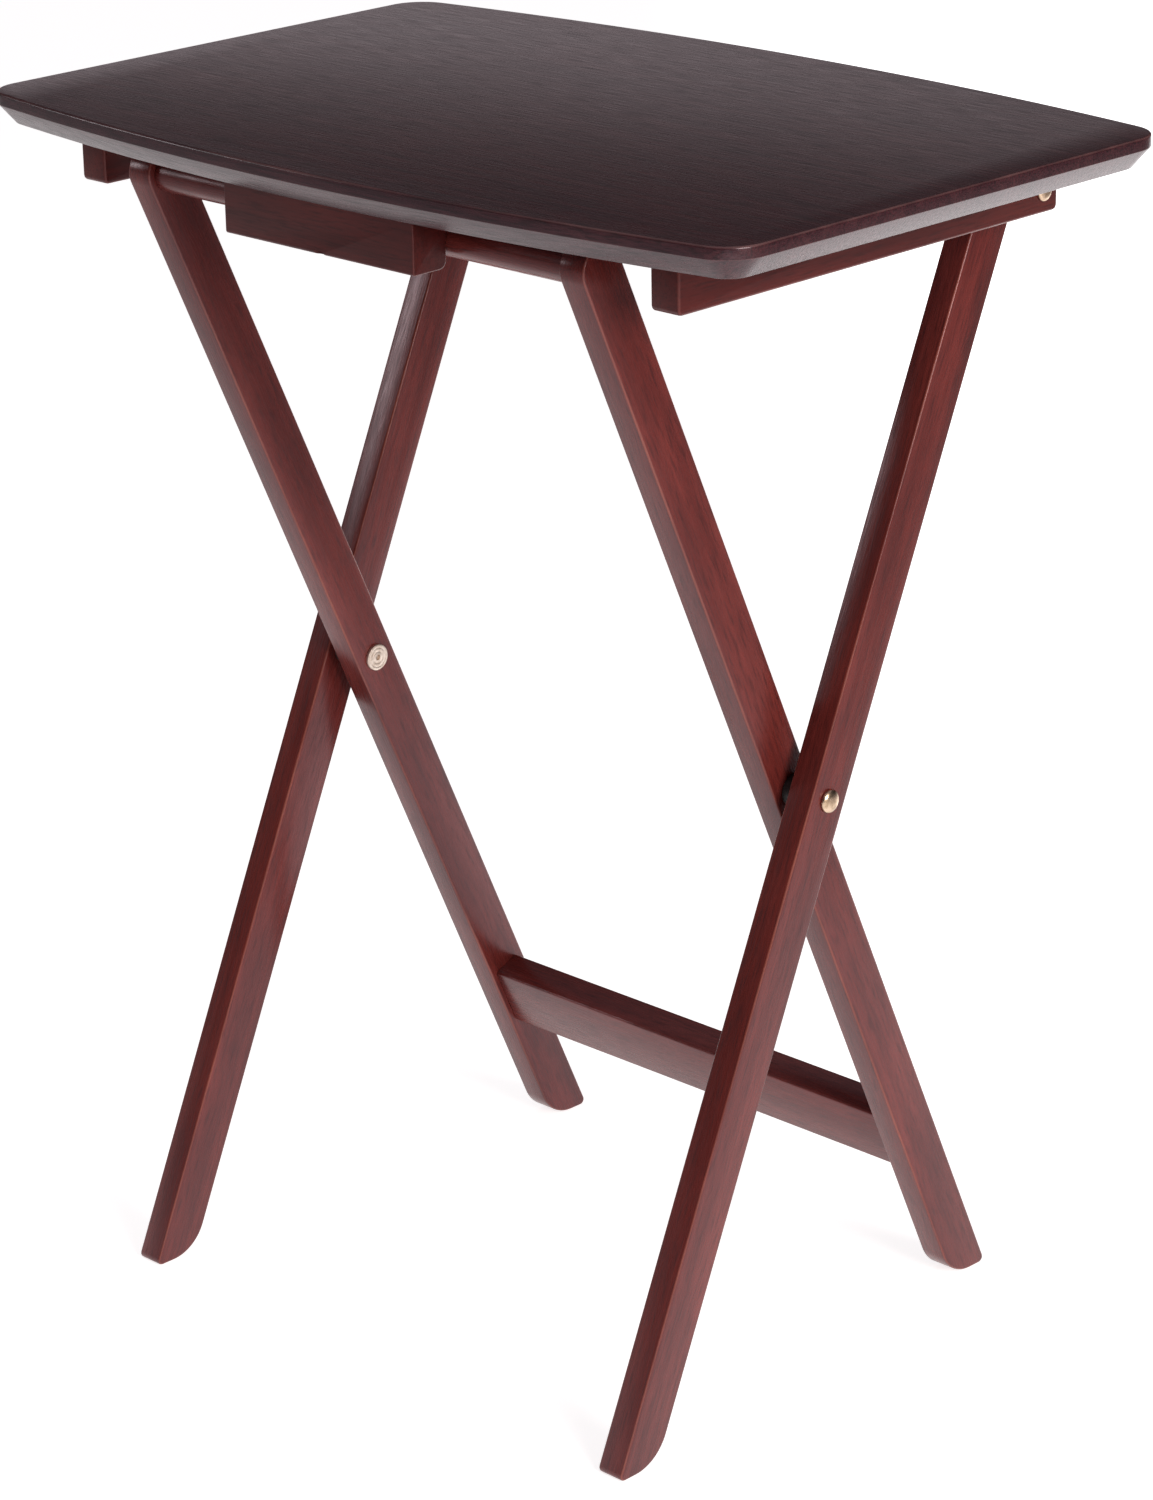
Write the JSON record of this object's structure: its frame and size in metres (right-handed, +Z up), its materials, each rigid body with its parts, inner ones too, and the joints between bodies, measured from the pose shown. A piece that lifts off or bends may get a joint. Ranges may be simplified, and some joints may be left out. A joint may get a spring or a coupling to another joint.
{
  "type": "folding tray table",
  "caption": "Wooden folding tray table: a bowed rectangular top hinged on two pairs of crossed legs that fold flat.",
  "frame": {"origin": "on the floor, under the middle of the open table", "axes": "+X along the long side of the top, towards its right end seen from the front; +Y from the front to the back; +Z up"},
  "size_m": [0.54, 0.362, 0.66],
  "materials": {
    "dark_stained_wood": "very dark brown stain under satin lacquer",
    "red_brown_stained_wood": "red-brown stain under satin lacquer",
    "plain_beech": "unfinished turned dowel",
    "pale_brass": "pale brass plating, softly polished",
    "zinc_plated_steel": "bright zinc plating",
    "black_nylon": "moulded nylon"
  },
  "bodies": {
    "outer_legs": {"outer_leg_left": "red_brown_stained_wood", "outer_leg_right": "red_brown_stained_wood"},
    "inner_legs": {"inner_leg_left": "red_brown_stained_wood", "inner_leg_right": "red_brown_stained_wood", "round_front_rail": "red_brown_stained_wood", "back_stretcher": "red_brown_stained_wood", "stretcher_pin_left_lower": "plain_beech", "stretcher_pin_left_upper": "plain_beech", "stretcher_pin_right_lower": "plain_beech", "stretcher_pin_right_upper": "plain_beech", "leg_pivot_bolt_left": "pale_brass", "leg_pivot_bolt_right": "pale_brass", "leg_pivot_nut_left": "pale_brass", "leg_pivot_nut_right": "pale_brass", "leg_pivot_spacer_left": "black_nylon", "leg_pivot_spacer_right": "black_nylon"},
    "top_pivot_bolts": {"top_pivot_bolt_left": "pale_brass", "top_pivot_bolt_right": "pale_brass", "top_pivot_nut_left": "pale_brass", "top_pivot_nut_right": "pale_brass", "top_pivot_spacer_left": "black_nylon", "top_pivot_spacer_right": "black_nylon"},
    "top": {"table_top": "dark_stained_wood", "left_cleat": "red_brown_stained_wood", "right_cleat": "red_brown_stained_wood", "latch_block": "red_brown_stained_wood", "left_cleat_screw_1": "zinc_plated_steel", "left_cleat_screw_2": "zinc_plated_steel", "left_cleat_screw_3": "zinc_plated_steel", "right_cleat_screw_1": "zinc_plated_steel", "right_cleat_screw_2": "zinc_plated_steel", "right_cleat_screw_3": "zinc_plated_steel", "latch_block_screw_1": "zinc_plated_steel", "latch_block_screw_2": "zinc_plated_steel"}
  },
  "joints": [
    {"name": "leg_fold", "type": "hinge", "parent": "outer_legs", "child": "inner_legs", "pos_m": [0, -0.003, 0.329], "axis": [-1, 0, 0], "range_deg": [0, 48]},
    {"name": "top_follow", "type": "hinge", "parent": "outer_legs", "child": "top_pivot_bolts", "pos_m": [0, 0.12959, 0.6268], "axis": [-1, 0, 0], "range_deg": [0, 24.6]},
    {"name": "top_lift", "type": "hinge", "parent": "top_pivot_bolts", "child": "top", "pos_m": [0, 0.12959, 0.6268], "axis": [-1, 0, 0], "range_deg": [0, 88]}
  ],
  "couplings": [
    {"joint": "top_follow", "follows": "leg_fold", "ratio": 0.51}
  ]
}
